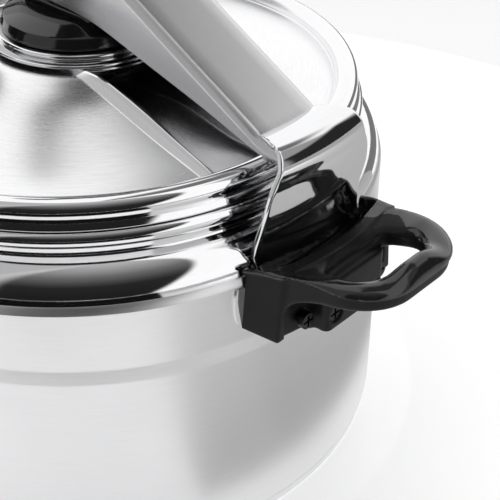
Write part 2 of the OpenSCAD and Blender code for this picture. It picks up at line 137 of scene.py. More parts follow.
def add_mesh(name, verts, faces, materials, body, nodes, sharp, picks=None):
    """A piece from millimetre vertices, with edges sharper than sharp degrees kept as edges.

    It rides on body, replaces nodes, and picks give each face's material.
    """
    mesh = bpy.data.meshes.new(name)
    mesh.from_pydata((np.asarray(verts, float) * MM).tolist(), [], [tuple(int(i) for i in f) for f in faces])
    for material in materials:
        mesh.materials.append(material)
    if picks is not None:
        mesh.polygons.foreach_set("material_index", np.asarray(picks, np.int32))
    work = bmesh.new()
    work.from_mesh(mesh)
    bmesh.ops.remove_doubles(work, verts=work.verts, dist=2e-6)
    bmesh.ops.dissolve_degenerate(work, edges=work.edges, dist=1e-7)
    bmesh.ops.recalc_face_normals(work, faces=work.faces)
    work.to_mesh(mesh)
    work.free()
    mesh.shade_smooth()
    mesh.set_sharp_from_angle(angle=math.radians(sharp))
    piece = bpy.data.objects.new(name, mesh)
    bpy.context.scene.collection.objects.link(piece)
    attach(piece, body)
    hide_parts(*nodes)


def grid_faces(rows, columns, wrap_rows=False, wrap_columns=False, first=0):
    """Quads of a grid of vertices that is stored row by row."""
    faces = []
    for i in range(rows if wrap_rows else rows - 1):
        for j in range(columns if wrap_columns else columns - 1):
            i2 = (i + 1) % rows
            j2 = (j + 1) % columns
            row = first + i * columns
            next_row = first + i2 * columns
            faces.append((row + j, row + j2, next_row + j2, next_row + j))
    return faces


def lathe(section, segments=240, closed=True, angles=None):
    """A section of (radius, z) points turned about the Z axis."""
    if angles is None:
        angles = np.linspace(0, 2 * math.pi, segments, endpoint=False)
    section = np.array(section, float)
    c = np.cos(angles)[:, None]
    s = np.sin(angles)[:, None]
    r = section[:, 0][None]
    z = np.broadcast_to(section[:, 1][None], (len(angles), len(section)))
    verts = np.stack([r * c, r * s, z], -1).reshape(-1, 3)
    return verts, grid_faces(len(angles), len(section), wrap_rows=True, wrap_columns=closed)


def turned(verts):
    """Half a turn about the Z axis."""
    return np.asarray(verts) * np.array([-1.0, -1.0, 1.0])


def joined(*shapes):
    """Several (verts, faces) shapes as one."""
    verts = []
    faces = []
    count = 0
    for v, f in shapes:
        verts.append(np.asarray(v))
        faces += [tuple(i + count for i in face) for face in f]
        count += len(v)
    return np.concatenate(verts), faces


# ---------------------------------------------------------------- distance fields


def blend_min(a, b, k):
    h = np.clip(0.5 + 0.5 * (b - a) / k, 0, 1)
    return b * (1 - h) + a * h - k * h * (1 - h)


def blend_max(a, b, k):
    return -blend_min(-a, -b, k)


def box_field(x, y, half_x, half_y, radius):
    """Signed distance to a rounded rectangle."""
    qx = np.abs(x) - half_x + radius
    qy = np.abs(y) - half_y + radius
    return np.hypot(np.maximum(qx, 0), np.maximum(qy, 0)) + np.minimum(np.maximum(qx, qy), 0) - radius


def surface(field, low, high, pitch):
    """Mesh of the zero level of a field, by surface nets, with its vertices drawn onto the level."""
    low = np.array(low, float)
    size = np.ceil((np.array(high, float) - low) / pitch).astype(int) + 1
    axes = [low[k] + pitch * np.arange(size[k]) for k in range(3)]
    x, y, z = np.meshgrid(*axes, indexing="ij")
    f = field(x, y, z)
    corner = f < 0
    cells = tuple(size - 1)
    total = np.zeros(cells + (3,))
    hits = np.zeros(cells)
    for axis in range(3):
        others = [k for k in range(3) if k != axis]
        for da in (0, 1):
            for db in (0, 1):
                start = [slice(0, cells[k]) for k in range(3)]
                start[others[0]] = slice(da, da + cells[others[0]])
                start[others[1]] = slice(db, db + cells[others[1]])
                end = list(start)
                end[axis] = slice(1, 1 + cells[axis])
                f0 = f[tuple(start)]
                f1 = f[tuple(end)]
                cross = corner[tuple(start)] != corner[tuple(end)]
                t = np.where(cross, f0 / np.where(cross, f0 - f1, 1), 0)
                place = np.zeros(cells + (3,))
                place[..., axis] = t
                place[..., others[0]] = da
                place[..., others[1]] = db
                total += place * cross[..., None]
                hits += cross
    live = hits > 0
    index = np.full(cells, -1)
    index[live] = np.arange(live.sum())
    where = np.argwhere(live)
    points = low + pitch * (where + total[live] / hits[live][:, None])
    faces = []
    for axis in range(3):
        o1, o2 = [(1, 2), (2, 0), (0, 1)][axis]
        start = [slice(1, size[k] - 1) for k in range(3)]
        start[axis] = slice(0, size[axis] - 1)
        end = list(start)
        end[axis] = slice(1, size[axis])
        a = corner[tuple(start)]
        b = corner[tuple(end)]
        edge = np.argwhere(a != b)
        base = edge + np.array([0 if k == axis else 1 for k in range(3)])
        around = []
        for d1, d2 in ((0, 0), (1, 0), (1, 1), (0, 1)):
            cell = base.copy()
            cell[:, o1] -= d1
            cell[:, o2] -= d2
            around.append(index[cell[:, 0], cell[:, 1], cell[:, 2]])
        quads = np.stack(around, -1)
        outward = a[tuple(edge.T)]
        quads[~outward] = quads[~outward][:, ::-1]
        faces.append(quads)
    faces = np.concatenate(faces)
    delta = 0.05
    for _ in range(3):
        value, gradient = slope_of(field, points, delta)
        length = np.maximum((gradient**2).sum(1), 0.04)
        shift = gradient * (value / length)[:, None]
        points -= np.clip(shift, -0.5 * pitch, 0.5 * pitch)
    return points, faces[(faces >= 0).all(1)]


def slope_of(field, points, delta):
    """The field and its gradient at some points."""
    value = field(*points.T)
    slopes = []
    for axis in np.eye(3):
        ahead = field(*(points + axis * delta).T)
        behind = field(*(points - axis * delta).T)
        slopes.append((ahead - behind) / (2 * delta))
    return value, np.stack(slopes, 1)


# ---------------------------------------------------------------- materials


def new_material(name):
    material = bpy.data.materials.new(name)
    material.use_nodes = True
    tree = material.node_tree
    return material, tree, tree.nodes["Principled BSDF"]


def node(tree, kind, inputs=None, **settings):
    made = tree.nodes.new(kind)
    for key, value in settings.items():
        setattr(made, key, value)
    for key, value in (inputs or {}).items():
        if isinstance(value, bpy.types.NodeSocket):
            tree.links.new(value, made.inputs[key])
        else:
            made.inputs[key].default_value = value
    return made


def math_node(tree, operation, a, b=0.0):
    return node(tree, "ShaderNodeMath", {0: a, 1: b}, operation=operation).outputs[0]


def round_coordinates(tree, across, along):
    """Coordinates round the Z axis: across scales radius and height, along scales the angle."""
    place = node(tree, "ShaderNodeTexCoord").outputs["Object"]
    parts = node(tree, "ShaderNodeSeparateXYZ", {0: place})
    x, y, z = parts.outputs
    squares = math_node(tree, "ADD", math_node(tree, "MULTIPLY", x, x), math_node(tree, "MULTIPLY", y, y))
    radius = math_node(tree, "SQRT", squares)
    ux = math_node(tree, "DIVIDE", x, math_node(tree, "MAXIMUM", radius, 0.001))
    uy = math_node(tree, "DIVIDE", y, math_node(tree, "MAXIMUM", radius, 0.001))
    level = math_node(tree, "MULTIPLY", math_node(tree, "ADD", z, radius), across)
    return node(
        tree,
        "ShaderNodeCombineXYZ",
        {0: math_node(tree, "MULTIPLY", ux, along), 1: math_node(tree, "MULTIPLY", uy, along), 2: level},
    ).outputs[0]


def flat_coordinates(tree, scale):
    """Object coordinates with its own scale on each axis."""
    place = node(tree, "ShaderNodeTexCoord").outputs["Object"]
    return node(tree, "ShaderNodeMapping", {"Vector": place, "Scale": scale}).outputs[0]


def noise(tree, vector, scale, detail=3.0, roughness=0.6):
    inputs = {"Vector": vector, "Scale": scale, "Detail": detail, "Roughness": roughness}
    return node(tree, "ShaderNodeTexNoise", inputs).outputs[0]


def ranged(tree, value, low, high, out_low, out_high):
    inputs = {"Value": value, "From Min": low, "From Max": high, "To Min": out_low, "To Max": out_high}
    return node(tree, "ShaderNodeMapRange", inputs).outputs[0]


def shade(tree, value, dark, light):
    """A colour between two greys or tints, by a value from 0 to 1."""
    ramp = node(tree, "ShaderNodeValToRGB", {"Fac": value})
    ramp.color_ramp.elements[0].color = (*dark, 1)
    ramp.color_ramp.elements[1].color = (*light, 1)
    return ramp.outputs[0]


def steel(name, tint, rough, grain, bump, coordinates, anisotropy=0.0, waviness=0.0):
    """Steel with a brushed grain: rough is the range of roughness, grain how much the grain changes it."""
    material, tree, shader = new_material(name)
    vector = coordinates(tree)
    fine = noise(tree, vector, 1.0, 4.0, 0.7)
    broad = noise(tree, flat_coordinates(tree, (18, 18, 18)), 1.0, 3.0, 0.5)
    mixed = math_node(
        tree, "ADD", math_node(tree, "MULTIPLY", fine, grain), math_node(tree, "MULTIPLY", broad, 1 - grain)
    )
    tree.links.new(ranged(tree, mixed, 0.3, 0.7, rough[0], rough[1]), shader.inputs["Roughness"])
    darker = tuple(c * 0.93 for c in tint)
    colour = shade(tree, ranged(tree, mixed, 0.3, 0.7, 0.0, 1.0), tint, darker)
    tree.links.new(colour, shader.inputs["Base Color"])
    shader.inputs["Metallic"].default_value = 1.0
    shader.inputs["Anisotropic"].default_value = anisotropy
    if anisotropy:
        tangent = node(tree, "ShaderNodeTangent", direction_type="RADIAL", axis="Z").outputs[0]
        tree.links.new(tangent, shader.inputs["Tangent"])
    height = node(tree, "ShaderNodeBump", {"Height": fine, "Strength": bump, "Distance": 0.0002}).outputs[0]
    if waviness:
        slow = noise(tree, flat_coordinates(tree, (30, 30, 30)), 1.0, 2.0, 0.4)
        inputs = {"Height": slow, "Strength": waviness, "Distance": 0.002, "Normal": height}
        height = node(tree, "ShaderNodeBump", inputs).outputs[0]
    tree.links.new(height, shader.inputs["Normal"])
    return material


def moulded(name, tint, rough, grain_scale, bump, coat=0.0, specular=0.5):
    """Moulded phenolic or rubber."""
    material, tree, shader = new_material(name)
    vector = flat_coordinates(tree, (1, 1, 1))
    grain = noise(tree, vector, grain_scale, 3.0, 0.6)
    cloud = noise(tree, vector, 55.0, 4.0, 0.6)
    tree.links.new(ranged(tree, cloud, 0.3, 0.7, rough[0], rough[1]), shader.inputs["Roughness"])
    lighter = tuple(c * 1.5 + 0.001 for c in tint)
    colour = shade(tree, ranged(tree, grain, 0.35, 0.65, 0.0, 1.0), tint, lighter)
    tree.links.new(colour, shader.inputs["Base Color"])
    shader.inputs["Specular IOR Level"].default_value = specular
    shader.inputs["Coat Weight"].default_value = coat
    shader.inputs["Coat Roughness"].default_value = 0.05
    height = node(tree, "ShaderNodeBump", {"Height": grain, "Strength": bump, "Distance": 0.0002}).outputs[0]
    tree.links.new(height, shader.inputs["Normal"])
    return material


def round_grain(across, along):
    return lambda tree: round_coordinates(tree, across, along)


def line_grain(x, y, z):
    return lambda tree: flat_coordinates(tree, (x, y, z))


# name, tint, roughness, share of fine grain, bump, texture coordinates, anisotropy, waviness
SATIN = steel("satin_steel", (0.90, 0.90, 0.91), (0.30, 0.38), 0.6, 0.10, round_grain(2600, 7), 0.4)
LID_SATIN = steel("lid_satin_steel", (0.92, 0.92, 0.93), (0.22, 0.30), 0.6, 0.05, round_grain(2600, 9), 0.5)
ARCH_SATIN = steel(
    "arch_satin_steel", (0.66, 0.66, 0.67), (0.20, 0.28), 0.6, 0.08, line_grain(40, 1800, 1800)
)
POLISHED = steel(
    "polished_steel", (0.86, 0.86, 0.87), (0.045, 0.09), 0.5, 0.03, round_grain(1500, 12), 0.0, 0.02
)
JAW_POLISHED = steel(
    "jaw_polished_steel", (0.84, 0.84, 0.85), (0.04, 0.08), 0.5, 0.03, line_grain(900, 60, 900), 0.0, 0.03
)
# near-black screw steel: painted shade, standing in for the shade deep in the handle's screw holes
SCREW_HOLE_SHADE_STEEL = steel(
    "screw_steel_painted_shade", (0.05, 0.05, 0.05), (0.3, 0.45), 0.5, 0.08, line_grain(700, 700, 700)
)
HARDWARE = steel("hardware_steel", (0.66, 0.66, 0.67), (0.18, 0.34), 0.5, 0.08, line_grain(700, 700, 700))
CORE = steel("aluminium", (0.74, 0.74, 0.75), (0.35, 0.5), 0.5, 0.1, round_grain(900, 8))
BRASS = steel("turned_brass", (0.70, 0.52, 0.26), (0.18, 0.32), 0.6, 0.1, round_grain(2200, 4))
# name, tint, roughness, grain scale, bump, coat, specular level
GLOSS = moulded("black_gloss_phenolic", (0.009, 0.009, 0.010), (0.07, 0.14), 900.0, 0.02, 0.3)
MATTE = moulded("black_matte_phenolic", (0.006, 0.006, 0.0065), (0.34, 0.46), 2600.0, 0.10, 0.0, 0.2)
RUBBER = moulded("seal_rubber", (0.05, 0.05, 0.052), (0.55, 0.7), 1500.0, 0.08)

SLOT_MATERIALS = {
    "satin_steel": SATIN,
    "polished_steel": POLISHED,
    "steel_hardware": HARDWARE,
    "aluminium_core": CORE,
    "black_bakelite": GLOSS,
    "seal_rubber": RUBBER,
    "brass": BRASS,
}
for part in frame["record"]["subparts"]:
    NODES[part["node"]].data.materials.clear()
    NODES[part["node"]].data.materials.append(SLOT_MATERIALS[part["material_slot"]])
# the handle screws get the near-black steel, painted shade of their deep holes
NODES["handle_screws"].data.materials[0] = SCREW_HOLE_SHADE_STEEL

# ---------------------------------------------------------------- pot

BODY_R = 128.2
STEP_IN = 1.0
STEP_Z = 96.0
UPPER_R = BODY_R - STEP_IN
POT_SHEET = 1.5
SHOULDER = (109.2, 125.3)
SHOULDER_R = 16.9
SHOULDER_EDGE_Z = 128.0
NECK_R = 114.0
BEAD = (114.2, 149.3)
BEAD_R = 3.6
BASE_T = 6.0
SIDE_BOW = 36.0
SIDE_Z = 10.0
BOW_CENTRE = (BODY_R - SIDE_BOW, SIDE_Z)


def pot_wall():
    """Closed section of the pot: the outside from the base up to the rim bead, then the inside back down."""
    low = math.degrees(math.asin((BASE_T - SIDE_Z) / SIDE_BOW))
    outside = arc(BOW_CENTRE, SIDE_BOW, low, 0, 8)
    outside += [(BODY_R, z) for z in (40, 70, STEP_Z - 5.2)]
    step_line = [(BODY_R, -5, 0), (BODY_R, -3.2, 9), (UPPER_R, 3.2, 9), (UPPER_R, 5.2, 0)]
    outside += rounded([(r, STEP_Z + z, bend) for r, z, bend in step_line], closed=False)
    outside += [(UPPER_R, 110), (UPPER_R, 123.6)]
    outside += rounded([(UPPER_R, 123.8, 0), (UPPER_R, 124.7, 0.7), (UPPER_R - 0.9, 127.6, 0)], closed=False)
    edge = math.degrees(math.asin((SHOULDER_EDGE_Z - SHOULDER[1]) / SHOULDER_R))
    top = math.degrees(math.acos((NECK_R + 1.6 - SHOULDER[0]) / SHOULDER_R))
    outside += arc(SHOULDER, SHOULDER_R, edge, top, 26)
    outside += [(NECK_R + 0.5, 141.6), (NECK_R + 0.1, 142.4), (NECK_R, 143.4), (NECK_R, 145.6)]
    outside += arc(BEAD, BEAD_R, -85, 200, 24)
    inside = [(NECK_R - POT_SHEET, 147.5), (NECK_R - POT_SHEET, 141.0)]
    inside += arc(SHOULDER, SHOULDER_R - POT_SHEET, 78, 5, 14)
    inside += [(UPPER_R - POT_SHEET, z) for z in (120, STEP_Z + 1.4)]
    inside += [(BODY_R - POT_SHEET, z) for z in (STEP_Z - 1.4, 60)]
    inner_low = math.degrees(math.asin((BASE_T + POT_SHEET - SIDE_Z) / (SIDE_BOW - POT_SHEET)))
    inside += arc(BOW_CENTRE, SIDE_BOW - POT_SHEET, 0, inner_low + 2, 6)
    inside += [(118, BASE_T + POT_SHEET), (60, BASE_T + POT_SHEET), (0, BASE_T + POT_SHEET)]
    return [(0, BASE_T)] + outside + inside


def make_pot():
    section = pot_wall()
    segments = 360
    verts, faces = lathe(section, segments)
    # faces above the shoulder's edge are polished on the outside
    heights = np.array([z for _, z in section])
    radii = np.array([r for r, _ in section])
    middle = (heights + np.roll(heights, -1)) / 2
    across = (radii + np.roll(radii, -1)) / 2
    polished = ((middle > SHOULDER_EDGE_Z - 0.1) & (across > NECK_R - 1.2)).astype(int)
    picks = np.tile(polished, segments)
    add_mesh("pot_shell", verts, faces, [SATIN, POLISHED], "pot", ["pot_body"], 30, picks)
    low = math.degrees(math.asin((0.6 - SIDE_Z) / SIDE_BOW))
    high = math.degrees(math.asin((BASE_T - 0.15 - SIDE_Z) / SIDE_BOW))
    base = [(0, 0.35), (58.8, 0.35), (60.4, 1.3), (65.6, 1.3), (67.2, 0.0), (118, 0.0), (122.5, 0.0)]
    base += arc(BOW_CENTRE, SIDE_BOW, low, high, 7)
    base += [(BODY_R - 1.9, BASE_T - 0.05), (119, BASE_T - 0.05), (0, BASE_T - 0.05)]
    verts, faces = lathe(base)
    add_mesh("base_shell", verts, faces, [SATIN], "pot", ["base_cap"], 30)


# ---------------------------------------------------------------- lid

LID_EDGE_R = 104.6
LID_SHEET = 1.8
BAND_TOP = 27.0
BAND_FOOT = 30.4
ROLL = (110.4, 159.1)
ROLL_R = 4.8
dome = curve(
    (-10, 20, 38, 41.5, 47.5, 54.2, 67.5, 77.5, 86.8, 96.8, 104.6),
    (177.5, 177.5, 177.5, 177.4, 175.9, 173.9, 169.3, 165.9, 163.1, 160.3, 158.0),
)
band = curve(
    (-10, 15, 36, 44, 50, 57.6, 68.4, 79, 89, 97.5, 104.8),
    (179.15, 179.15, 179.1, 178.3, 176.7, 174.5, 171.0, 167.3, 164.0, 161.2, 158.4),
)


def band_share(y):
    """How much of the band's height there is at a distance from the band's middle."""
    t = (BAND_FOOT - np.abs(y)) / (BAND_FOOT - BAND_TOP)
    return np.where(t > 1.1, 1.0, blend_min(np.clip(t, 0, 2) ** 1.35, 1.0, 0.22))


def make_lid():
    """Dome, raised band, groove, rolled rim and skirt as one closed sheet."""
    plain = np.radians(np.arange(-90, 90.01, 1.0))
    edges = np.arange(24.6, 32.4, 0.28)
    extra = np.arcsin(edges / LID_EDGE_R)
    lat = np.unique(np.round(np.concatenate([plain, extra, -extra]), 6))
    least_gap = 0.0012
    keep = [lat[0]]
    for a in lat[1:]:
        if a - keep[-1] > least_gap:
            keep.append(a)
    lat = np.array(keep)
    lat[0] = -math.pi / 2
    lat[-1] = math.pi / 2
    columns = 201
    spread = math.pi / 2 * 0.92
    across = np.sin(np.linspace(-1, 1, columns) * spread) / math.sin(spread)
    y = LID_EDGE_R * np.sin(lat)[:, None] * np.ones(columns)
    x = LID_EDGE_R * np.cos(lat)[:, None] * across
    radius = np.hypot(x, y)
    low = dome(radius)
    rise = np.maximum(band(np.abs(x)) - low, 0)
    top = low + rise * band_share(y)
    top = np.where(radius > LID_EDGE_R - 0.01, dome(LID_EDGE_R), top)
    upper = np.stack([x, y, top], -1).reshape(-1, 3)
    lower = np.stack([x, y, top - LID_SHEET], -1).reshape(-1, 3)
    rows = len(lat)
    faces = grid_faces(rows, columns)
    polished = (np.abs(y[:-1, :-1] + y[1:, 1:]) / 2 < BAND_TOP + 0.9).reshape(-1)
    picks = polished.astype(int).tolist()
    faces_low = [tuple(i + rows * columns for i in f[::-1]) for f in faces]
    picks += [0] * len(faces_low)
    # the rim is turned at the same angles as the rows' ends
    angles = np.concatenate([lat, (math.pi - lat)[::-1][1:-1]])
    edge_z = float(dome(LID_EDGE_R))
    rim = [(LID_EDGE_R, edge_z), (105.1, 157.8), (105.5, 158.1)]
    rim += arc(ROLL, ROLL_R, 188, -12, 30)
    skirt = [(115.15, 157.6, 0), (115.35, 156.4, 1.0), (116.5, 153.6, 0.5)]
    skirt += [(115.6, 153.2, 0.3), (114.2, 157.0, 0)]
    rim += rounded(skirt, closed=False)
    rim += arc(ROLL, ROLL_R - 1.4, -20, 200, 18)
    rim += [(106.2, 156.6), (105.8, 156.1), (LID_EDGE_R, edge_z - LID_SHEET)]
    verts_rim, faces_rim = lathe(rim, closed=False, angles=angles)
    rim_picks = [1] * len(faces_rim)
    verts, all_faces = joined((np.concatenate([upper, lower]), faces + faces_low), (verts_rim, faces_rim))
    add_mesh(
        "lid_skin",
        verts,
        all_faces,
        [LID_SATIN, POLISHED],
        "lid",
        ["lid_shell"],
        32,
        picks + rim_picks,
    )


def make_centre():
    """The polished disc and ring under the clamp's centre."""
    disc = rounded([(6.1, 179.25, 0), (41.2, 179.25, 0.65), (41.2, 180.65, 0.65), (6.1, 180.65, 0)])
    verts, faces = lathe(disc)
    add_mesh("centre_plate", verts, faces, [POLISHED], "lid", ["centre_disc"], 50)
    ring = rounded([(15, 180.66, 0), (36.5, 180.66, 1.05), (36.5, 182.86, 1.05), (15, 182.86, 0.4)])
    verts, faces = lathe(ring)
    add_mesh("centre_washer", verts, faces, [POLISHED], "lid", ["centre_ring"], 50)


# ---------------------------------------------------------------- hub, arch and jaws


def hub_field(x, y, z):
    radius = np.hypot(x, y)
    edge = np.where(z < 188.2, 34.5 - (z - 183.2) * 0.4, 32.5 - (z - 188.2) * 2.1)
    skirt = blend_max((radius - edge) * 0.85, np.maximum(183.2 - z, z - 192.2), 1.6)
    flange = np.maximum(box_field(x, y, 23, 14.2, 3), z - 205)
    body = blend_min(skirt, np.maximum(flange, 188 - z), 3.0)
    return np.maximum(np.maximum(body, 183.2 - z), 7.6 - radius)


def make_hub():
    verts, faces = surface(hub_field, (-37, -37, 181), (37, 37, 207), 0.8)
    add_mesh("swivel_hub_body", verts, faces, [GLOSS], "swivel", ["swivel_hub"], 50)


ARCH_HALF = 17.5
ARCH_SHEET = 3.0
ARCH_END = 126.0
arch_top = curve(
    (0, 9, 13, 18, 23, 30, 45, 60, 73.8, 90, 103, 109, 113.5, 119, 126),
    (229, 229, 229, 228.1, 225.6, 221.7, 213.4, 205.0, 197.3, 188.5, 181.4, 178.0, 175.6, 174.4, 174.3),
)
arch_low = curve(
    (0, 12, 25, 42.8, 63.3, 84.2, 104.3, 113.1, 126),
    (196.5, 196.0, 194.8, 190.5, 184.7, 178.9, 172.6, 170.0, 168.8),
)


def make_arch():
    """Folded channel: a flat top and two flanks with rounded bends between."""
    right_end = np.linspace(104, ARCH_END, 28)
    stations = np.concatenate([-right_end[::-1], np.linspace(-103, 103, 150), right_end])
    bend = 4.2
    rings = []
    for x in stations:
        top = float(arch_top(abs(x)))
        low = float(arch_low(abs(x)))
        inner = ARCH_HALF - ARCH_SHEET
        outside = [(-ARCH_HALF, low + 0.4)] + arc((-ARCH_HALF + bend, top - bend), bend, 180, 90, 9)
        outside += [(y, top) for y in (-8, 0, 8)]
        outside += arc((ARCH_HALF - bend, top - bend), bend, 90, 0, 9) + [(ARCH_HALF, low + 0.4)]
        outside += [(ARCH_HALF - 0.4, low), (inner + 0.4, low), (inner, low + 0.4)]
        tight = bend - ARCH_SHEET + 0.6
        roof = max(top - ARCH_SHEET, low + tight + 0.6)
        outside += arc((inner - tight, roof - tight), tight, 0, 90, 5)
        outside += arc((-inner + tight, roof - tight), tight, 90, 180, 5)
        outside += [(-inner, low + 0.4), (-inner - 0.4, low), (-ARCH_HALF + 0.4, low)]
        rings.append([(x, y, z) for y, z in outside])
    count = len(rings[0])
    verts = np.array(rings).reshape(-1, 3)
    faces = grid_faces(len(rings), count, wrap_columns=True)
    last = (len(rings) - 1) * count
    # each end is closed by a strip between its outer and inner lines
    half = 1 + 9 + 3 + 9 + 1
    for first in (0, last):
        loop = [first + i for i in range(count)]
        outer = loop[:half]
        inner = [loop[0]] + loop[half:][::-1]
        faces += strip(outer, inner, verts)
    add_mesh("clamp_arch_channel", verts, faces, [ARCH_SATIN], "clamp", ["clamp_arch"], 40)


def strip(a, b, verts):
    """Triangles between two lines of vertices that share their ends or nearly so."""
    faces = []
    i = j = 0
    while i < len(a) - 1 or j < len(b) - 1:
        forward_a = np.inf
        forward_b = np.inf
        if i < len(a) - 1:
            forward_a = np.linalg.norm(verts[a[i + 1]] - verts[b[j]])
        if j < len(b) - 1:
            forward_b = np.linalg.norm(verts[b[j + 1]] - verts[a[i]])
        if forward_a <= forward_b:
            faces.append((a[i], a[i + 1], b[j]))
            i += 1
        else:
            faces.append((a[i], b[j + 1], b[j]))
            j += 1
    return [f for f in faces if len(set(f)) == 3]


JAW_SHEET = 2.0


def jaw_line():
    """Outer line of a jaw, (radius, z, half width), from the plate on the arch down to the lower end."""
    line = [(113.9, 176.3, 15.7), (116, 177.1, 16.4), (119, 177.7, 17.5)]
    line += [(122.5, 178, 18.8), (126, 178, 20.1)]
    for a in np.linspace(80, -10, 15):
        r = 126 + 6.7 * math.cos(math.radians(a))
        z = 169 + 9 * math.sin(math.radians(a))
        line.append((r, z, None))
    line += [
        (132.6, 164.0, None),
        (132.3, 160.0, None),
        (131.8, 155.0, None),
        (130.8, 150.0, None),
        (129.5, 145.0, None),
        (128.4, 140.0, None),
        (128.0, 135.5, None),
        (128.5, 131.5, None),
        (129.6, 129.2, None),
        (130.7, 127.2, None),
        (131.4, 125.0, None),
        (131.4, 121.5, None),
        (131.4, 118.0, None),
    ]
    width = curve(
        (118, 122, 126, 131, 135, 140, 145, 150, 155, 160, 165, 170, 174, 177.2),
        (28.1, 28.2, 28.7, 29.3, 30.2, 29.9, 29.5, 29.4, 28.9, 28.0, 26.2, 23.8, 22.6, 21.2),
    )
    return [(r, z, float(width(z)) if w is None else w) for r, z, w in line]


def densified(points, gap):
    """The same line with points no further apart than gap, on a smooth curve."""
    points = np.array(points, float)
    lengths = np.concatenate([[0], np.cumsum(np.hypot(*np.diff(points[:, :2], axis=0).T))])
    at = np.linspace(0, lengths[-1], int(lengths[-1] / gap) + 1)
    return np.stack([curve(lengths, points[:, k])(at) for k in range(points.shape[1])], 1)


def jaw_shape():
    line = densified(jaw_line(), 0.8)
    along = np.gradient(line[:, :2], axis=0)
    along /= np.linalg.norm(along, axis=1)[:, None]
    # the inner side is to the left of the way down
    inward = np.stack([along[:, 1], -along[:, 0]], 1)
    edge = 0.45
    count = 56
    rings = []
    for (r, z, w), (nr, nz) in zip(line, inward):
        break_edge = edge * 0.3
        side = [
            (w - break_edge, break_edge),
            (w, edge),
            (w, JAW_SHEET - edge),
            (w - break_edge, JAW_SHEET - break_edge),
        ]
        loop = [(y, 0.0) for y in np.linspace(-w + edge, w - edge, count)]
        loop += side
        loop += [(y, JAW_SHEET) for y in np.linspace(w - edge, -w + edge, count)]
        loop += [(-y, deep) for y, deep in side[::-1]]
        ring = []
        for y, deep in loop:
            radius = r + nr * deep
            ring.append((math.sqrt(max(radius * radius - y * y, 0)), y, z + nz * deep))
        rings.append(ring)
    size = len(rings[0])
    verts = np.array(rings).reshape(-1, 3)
    faces = grid_faces(len(rings), size, wrap_columns=True)
    for first in (0, (len(rings) - 1) * size):
        outer = [first + i for i in range(count)]
        inner = [first + i for i in range(size - 5, size - 5 - count, -1)]
        sides = [first + size - 1, first + size - 2, first + size - 3, first + size - 4]
        faces.append((outer[0], *sides, inner[0]))
        for k in range(count - 1):
            faces.append((outer[k], inner[k], inner[k + 1], outer[k + 1]))
        faces.append((outer[-1], inner[-1], *[first + count + 3 - i for i in range(4)]))
    return verts, faces


def make_jaws():
    verts, faces = jaw_shape()
    lips = []
    for a in (-8, 0, 8):
        corners = [(r, t, z) for r in (131.0, 134.6) for t in (-1.0, 1.0) for z in (118.0, 120.7)]
        c = math.cos(math.radians(a))
        s = math.sin(math.radians(a))
        box = [(r * c - t * s, r * s + t * c, z) for r, t, z in corners]
        quads = [(0, 1, 3, 2), (4, 6, 7, 5), (0, 4, 5, 1), (2, 3, 7, 6), (0, 2, 6, 4), (1, 5, 7, 3)]
        lips.append((np.array(box), quads))
    verts, faces = joined((verts, faces), *lips)
    for side, shape in (("right", verts), ("left", turned(verts))):
        nodes = [f"{side}_jaw"]
        add_mesh(f"{side}_jaw_plate", shape, faces, [JAW_POLISHED], "clamp", nodes, 42)


# ---------------------------------------------------------------- handles

HANDLE_Z = 105.5
ARM_T = 25.4
LOOP_TIP = 174.0
LOOP_BEND = 17.0
LOOP_HALF = 5.3
LIP_R = 136.0
crease_t = curve((118, 124, 129, 139, 146.4, 158, 170), (34.3, 33.8, 33.3, 31.9, 31.4, 30.7, 30.7))
crease_z = curve(
    (118, 124, 129, 139, 146.4, 158, 167, 185),
    (130.0, 131.6, 133.1, 134.7, 136.6, 137.4, 137.2, 137.0),
)
flank_z = curve(
    (130, 138, 141.4, 145.6, 150, 157.4, 172, 185),
    (116, 118.6, 122.4, 125.5, 127.6, 129.9, 131.5, 131.5),
)
BOSS_HALF = 17.2
INNER_SCREW_T = 11.5
OUTER_SCREW_T = 22.0
SCREW_Z = 112.0
WELL_HALF = 32.1


def loop_field(u, t, z):
    """The loop and its arms: a dome on a crease, with a narrower flank below."""
    half_length = 60
    root = LOOP_TIP - half_length
    side = box_field(u - root, t, half_length, ARM_T, LOOP_BEND)
    side = np.where(u < root, t - ARM_T, side)
    arm = 1 - step(u, 152, 171)
    outer = np.maximum(crease_t(u) - ARM_T, LOOP_HALF)
    reach = np.where(side > 0, outer, LOOP_HALF + 2.0 * arm)
    # the arms' tops lean inwards from the crease
    up = z - crease_z(u) - 0.3 * arm * np.clip(side - outer, -16, 0)
    tall = 1.0 + 2.4 * step(u, 146, 159) + 3.2 * step(u, 163, 173) * (1 - step(t, 3, 18))
    flat = np.clip(np.abs(side) / reach, 0, 3)
    power = 2.0 + 1.2 * (1 - step(u, 146, 160))
    bulge = (flat**power + (np.maximum(up, 0) / tall) ** power) ** (1 / power) - 1
    dome_part = bulge * np.minimum(reach, tall)
    lower = blend_max(np.abs(side) - (reach - 0.85), flank_z(u) - z, 2.2)
    lower = np.maximum(lower, up)
    return np.where(up > 0, dome_part, np.minimum(lower, np.maximum(dome_part, -up)))


